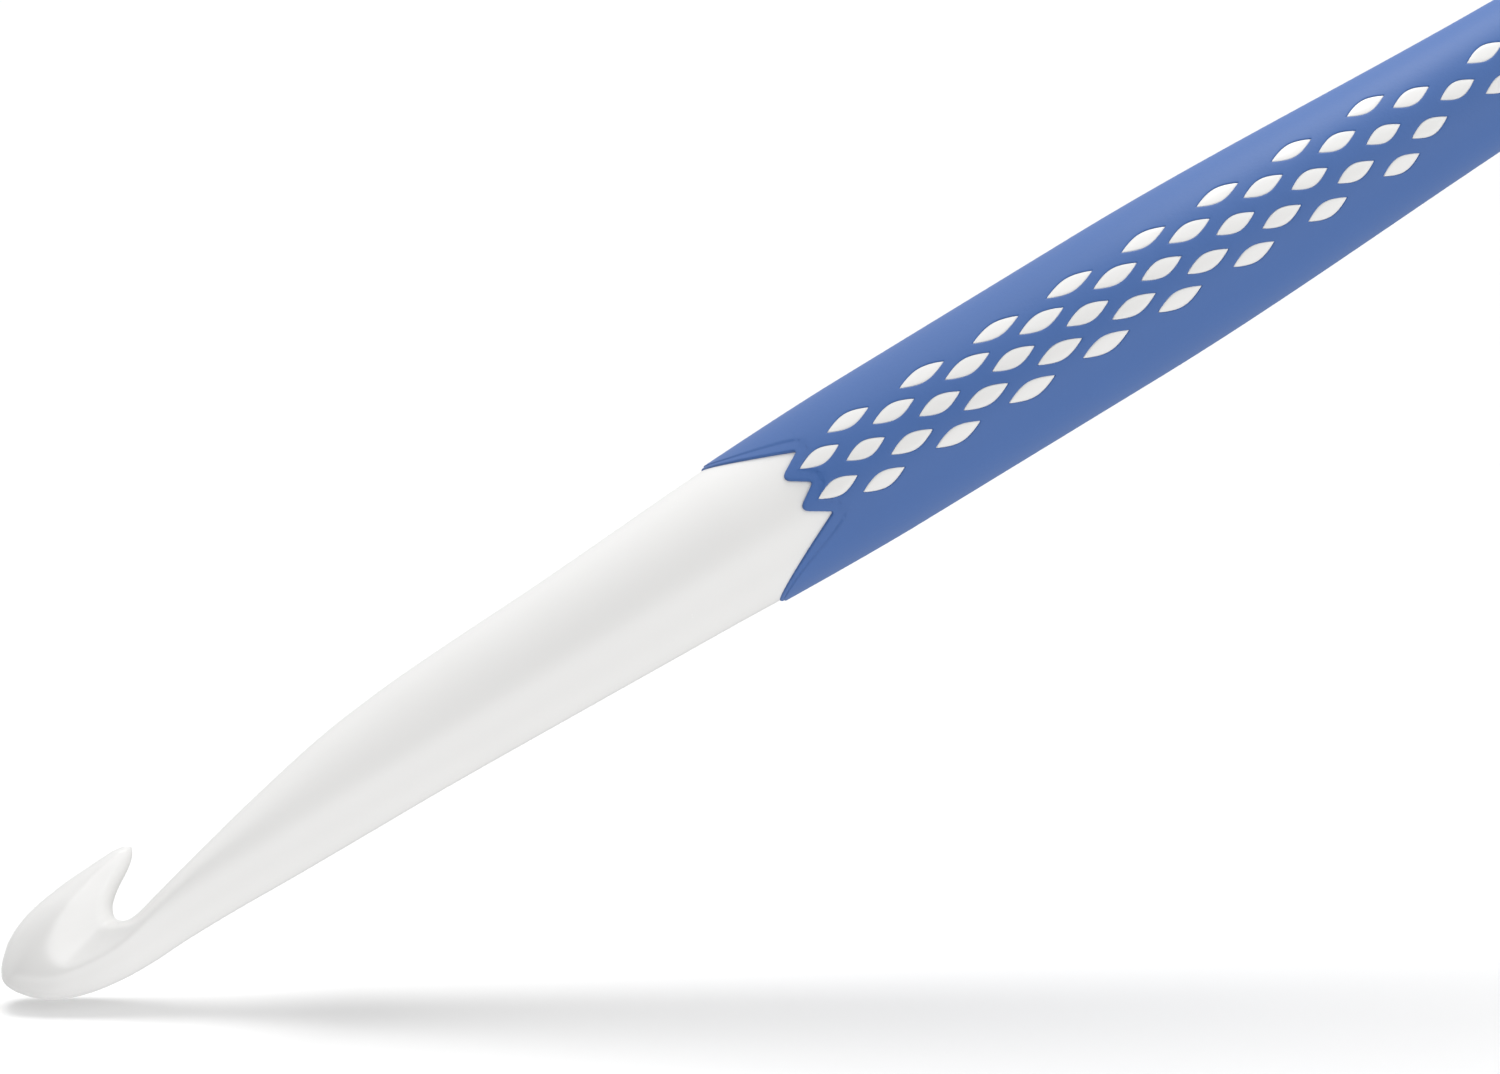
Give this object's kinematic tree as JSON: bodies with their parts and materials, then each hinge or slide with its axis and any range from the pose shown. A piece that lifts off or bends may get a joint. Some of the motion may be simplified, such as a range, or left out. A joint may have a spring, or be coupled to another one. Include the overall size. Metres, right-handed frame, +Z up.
{
  "type": "crochet hook",
  "caption": "Large moulded crochet hook: hard round shaft with a notched head and throat, and a soft jacket on the handle with leaf-shaped windows.",
  "frame": {"origin": "middle of the hook's length, on the surface that it lies on, under the handle's centre line", "axes": "+X from the nose along the handle to the rear end, +Z up with the mouth open upwards, Y across the flanks"},
  "size_m": [0.18, 0.0134, 0.0134],
  "materials": {
    "white_core": "satin moulded",
    "blue_jacket": "soft-touch matt"
  },
  "bodies": {
    "root": {"hook_core": "white_core", "grip_sleeve": "blue_jacket"}
  },
  "joints": []
}
